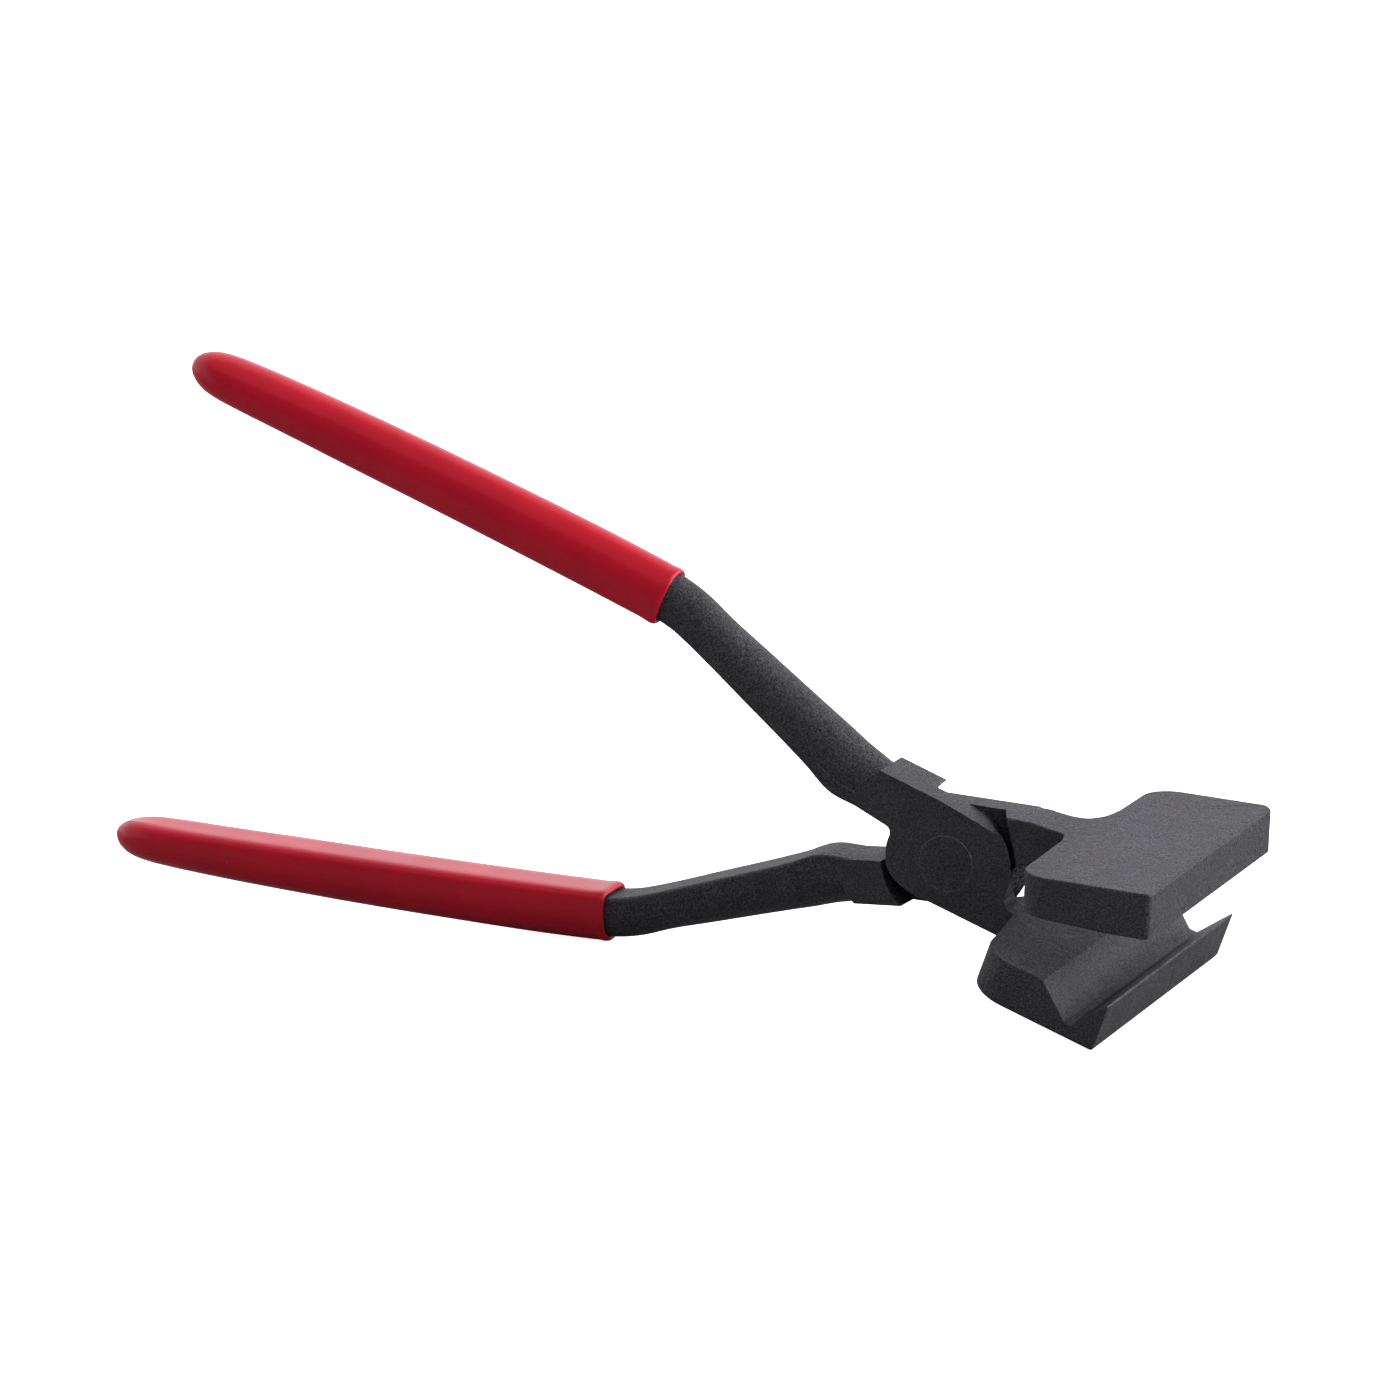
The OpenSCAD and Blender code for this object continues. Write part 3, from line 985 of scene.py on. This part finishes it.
def rough_steel_painted_lighter():
    """The forged scale left on a lap's front edge: coarse, and painted lighter than the other
    steel, as painted light for the light from behind that reaches it through the gap.
    """
    # Painted light: five times the forged steel's colour stands in for light from behind reflected
    # off this edge.
    colour = [c * 5 for c in bpy.context.scene.pliers_finishes.steel]
    return steel_material(
        "Rough steel", colour, fineness=1300.0, bump=1.0, rough=0.6, pits=0.9, wear=0.5)


def bare_steel():
    """The hairline round the rivet, where the steel is bare."""
    name = "Bare steel"
    if name in bpy.data.materials:
        return bpy.data.materials[name]
    colour = bpy.context.scene.pliers_finishes.bare
    material, tree = new_material(name)
    place = tree.add("ShaderNodeTexCoord").outputs["Object"]
    stain = tree.ramp(tree.noise(place, 700.0, 4.0, 0.7), 0.38, 0.62)
    base = tree.mixed(stain, with_alpha(colour), with_alpha([c * 0.45 for c in colour]))
    rough = tree.ramp(stain, 0.0, 1.0, 0.35, 0.55)
    shader = tree.add("ShaderNodeBsdfPrincipled", {"Base Color": base, "Roughness": rough})
    shader.inputs["Metallic"].default_value = 0.2
    tree.add("ShaderNodeOutputMaterial", {"Surface": shader.outputs["BSDF"]})
    return material


def dipped_plastic():
    """Glossy red dip of the grips."""
    name = "Dipped plastic"
    if name in bpy.data.materials:
        return bpy.data.materials[name]
    colour = bpy.context.scene.pliers_finishes.dip
    material, tree = new_material(name)
    place = tree.add("ShaderNodeTexCoord").outputs["Object"]
    dust = grouped(tree, dust_group(), {"Vector": place, "Amount": 0.25})
    cloud = tree.ramp(tree.noise(place, 60.0, 3.0, 0.6), 0.3, 0.7)
    deep = [c * 0.86 for c in colour]
    base = tree.mixed(cloud, with_alpha(deep), with_alpha(colour))
    base = tree.mixed(dust.outputs["Dust"], base, DIP_DUST)
    smear = tree.ramp(tree.noise(place, 150.0, 4.0, 0.65, 0.6), 0.3, 0.75)
    roughness = tree.ramp(smear, 0.0, 1.0, 0.18, 0.26)
    wave = tree.noise(place, 45.0, 1.0)
    peel = tree.noise(place, 900.0, 2.0)
    height = tree.math("ADD", tree.math("MULTIPLY", wave, 1.0), tree.math("MULTIPLY", peel, 0.02))
    normal = tree.add("ShaderNodeBump", {"Height": height, "Strength": 0.25, "Distance": 0.0012})
    shader = tree.add("ShaderNodeBsdfPrincipled", {
        "Base Color": base, "Roughness": roughness, "Normal": normal.outputs["Normal"]})
    shader.inputs["Specular IOR Level"].default_value = 0.26
    tree.add("ShaderNodeOutputMaterial", {"Surface": shader.outputs["BSDF"]})
    return material


# ---------------------------------------------------------------- stage

# The view: where the camera looks from, its roll, its distance in metres, the point that
# it looks at, and its lens in millimetres.
VIEW_AZIMUTH = math.radians(24.080)
VIEW_ELEVATION = math.radians(14.419)
VIEW_ROLL = math.radians(-0.697)
VIEW_DISTANCE = 1.74734
VIEW_TARGET = Vector((0.01356, 0, 0.06004))
VIEW_LENS = 195.97


def aim_camera():
    """A long lens that looks down on the pliers from the near side, a little to the right."""
    back = Vector((
        math.sin(VIEW_AZIMUTH) * math.cos(VIEW_ELEVATION),
        -math.cos(VIEW_AZIMUTH) * math.cos(VIEW_ELEVATION),
        math.sin(VIEW_ELEVATION)))
    level = Vector((math.cos(VIEW_AZIMUTH), math.sin(VIEW_AZIMUTH), 0))
    turn = Matrix.Rotation(VIEW_ROLL, 3, back)
    right = turn @ level
    up = back.cross(right)
    camera = bpy.data.objects.new("camera", bpy.data.cameras.new("camera"))
    camera.data.lens = VIEW_LENS
    camera.data.sensor_width = 36
    camera.data.clip_start = 0.05
    camera.data.clip_end = 60
    camera.matrix_world = Matrix.Translation(VIEW_TARGET + back * VIEW_DISTANCE) @ Matrix(
        (right, up, back)).transposed().to_4x4()
    bpy.context.scene.collection.objects.link(camera)
    bpy.context.scene.camera = camera


def light_studio():
    """Light from above, behind and the jaws' side, in a room that is dark in front."""
    world = bpy.data.worlds.new("studio")
    world.use_nodes = True
    bpy.context.scene.world = world
    tree = Tree(world.node_tree)
    direction = tree.add("ShaderNodeTexCoord").outputs["Generated"]
    behind = tree.add("ShaderNodeVectorMath", {
        0: direction, 1: (-math.sin(VIEW_AZIMUTH), math.cos(VIEW_AZIMUTH), 0)},
        operation="DOT_PRODUCT").outputs["Value"]
    place = tree.add("ShaderNodeSeparateXYZ", {0: direction})
    above = place.outputs["Z"]
    wall = tree.ramp(behind, 0.0, 0.4, 0.0, 1.15)
    roof = tree.ramp(above, 0.66, 0.74, 0.0, 0.4)
    right = tree.math("MULTIPLY", tree.ramp(place.outputs["X"], 0.4, 0.65, 0.0, 5.0),
                      tree.ramp(place.outputs["Y"], -0.45, 0.0))
    left = tree.ramp(place.outputs["X"], -0.5, -0.75, 0.0, 0.8)
    light = tree.math("MAXIMUM", tree.math("MAXIMUM", wall, roof), tree.math("ADD", right, left))
    light = tree.math("ADD", light, 0.29)
    seen = tree.add("ShaderNodeLightPath").outputs["Is Camera Ray"]
    strength = tree.add("ShaderNodeMix", {0: seen, 2: light, 3: 1.0}).outputs[0]
    colour = tree.mixed(seen, (0.985, 0.97, 1.05, 1.0), (1.0, 1.0, 1.0, 1.0))
    background = tree.add("ShaderNodeBackground", {"Color": colour, "Strength": strength})
    tree.add("ShaderNodeOutputWorld", {"Surface": background.outputs["Background"]})


def lay_floor():
    """A wide plain floor."""
    bm = bmesh.new()
    bmesh.ops.create_grid(bm, x_segments=1, y_segments=1, size=14)
    floor = to_object(bm, "floor")
    material, tree = new_material("Floor")
    colour = bpy.context.scene.pliers_finishes.floor
    place = tree.add("ShaderNodeTexCoord").outputs["Object"]
    soft = tree.ramp(tree.noise(place, 3.0), 0.0, 1.0, 0.985, 1.0)
    base = tree.mixed(1.0, with_alpha(colour), soft, "MULTIPLY")
    seen = tree.add("ShaderNodeLightPath").outputs["Is Camera Ray"]
    base = tree.mixed(seen, (0.3, 0.3, 0.3, 1), base)
    glow = tree.mixed(seen, (0, 0, 0, 1), (0.9, 0.9, 0.9, 1))
    shader = tree.add("ShaderNodeBsdfPrincipled", {"Base Color": base, "Emission Color": glow})
    shader.inputs["Emission Strength"].default_value = 1.0
    shader.inputs["Roughness"].default_value = 0.9
    shader.inputs["Specular IOR Level"].default_value = 0.1
    tree.add("ShaderNodeOutputMaterial", {"Surface": shader.outputs["BSDF"]})
    floor.data.materials.append(material)


class PLIERS_OT_stage(Operator):
    """Sets up the floor, the light and the camera"""
    bl_idname = "pliers.stage"
    bl_label = "Stage"

    def execute(self, context):
        context.scene.view_settings.view_transform = "Standard"
        aim_camera()
        light_studio()
        lay_floor()
        return {"FINISHED"}


class PLIERS_PT_panel(Panel):
    """Lists the pieces of the pliers and their sizes"""
    bl_idname = "PLIERS_PT_panel"
    bl_label = "Seaming Pliers"
    bl_space_type = "VIEW_3D"
    bl_region_type = "UI"
    bl_category = "Pliers"

    def draw(self, context):
        layout = self.layout
        for operator in OPERATORS:
            layout.operator(operator.bl_idname)
        for name, _ in GROUPS:
            group = getattr(context.scene, name)
            box = layout.box()
            for key in group.__annotations__:
                box.prop(group, key)


GROUPS = (
    ("pliers_joint", PliersJointSizes),
    ("pliers_jaws", PliersJawSizes),
    ("pliers_grips", PliersGripSizes),
    ("pliers_finishes", PliersFinishes),
)
OPERATORS = (
    PLIERS_OT_stage,
    PLIERS_OT_lower_jaw_lever,
    PLIERS_OT_upper_jaw_lever,
    PLIERS_OT_pivot_rivet,
    PLIERS_OT_grips,
)


def register():
    """Adds the sizes, the operators and the panel to Blender."""
    for name, group in GROUPS:
        bpy.utils.register_class(group)
        setattr(bpy.types.Scene, name, PointerProperty(type=group))
    for operator in OPERATORS:
        bpy.utils.register_class(operator)
    bpy.utils.register_class(PLIERS_PT_panel)


def unregister():
    """Takes the panel, the operators and the sizes away again."""
    bpy.utils.unregister_class(PLIERS_PT_panel)
    for operator in reversed(OPERATORS):
        bpy.utils.unregister_class(operator)
    for name, group in reversed(GROUPS):
        delattr(bpy.types.Scene, name)
        bpy.utils.unregister_class(group)


def main():
    """Builds the stage and every piece."""
    register()
    bpy.ops.pliers.stage()
    bpy.ops.pliers.lower_jaw_lever()
    bpy.ops.pliers.upper_jaw_lever()
    bpy.ops.pliers.pivot_rivet()
    bpy.ops.pliers.grips()


if __name__ == "__main__":
    main()
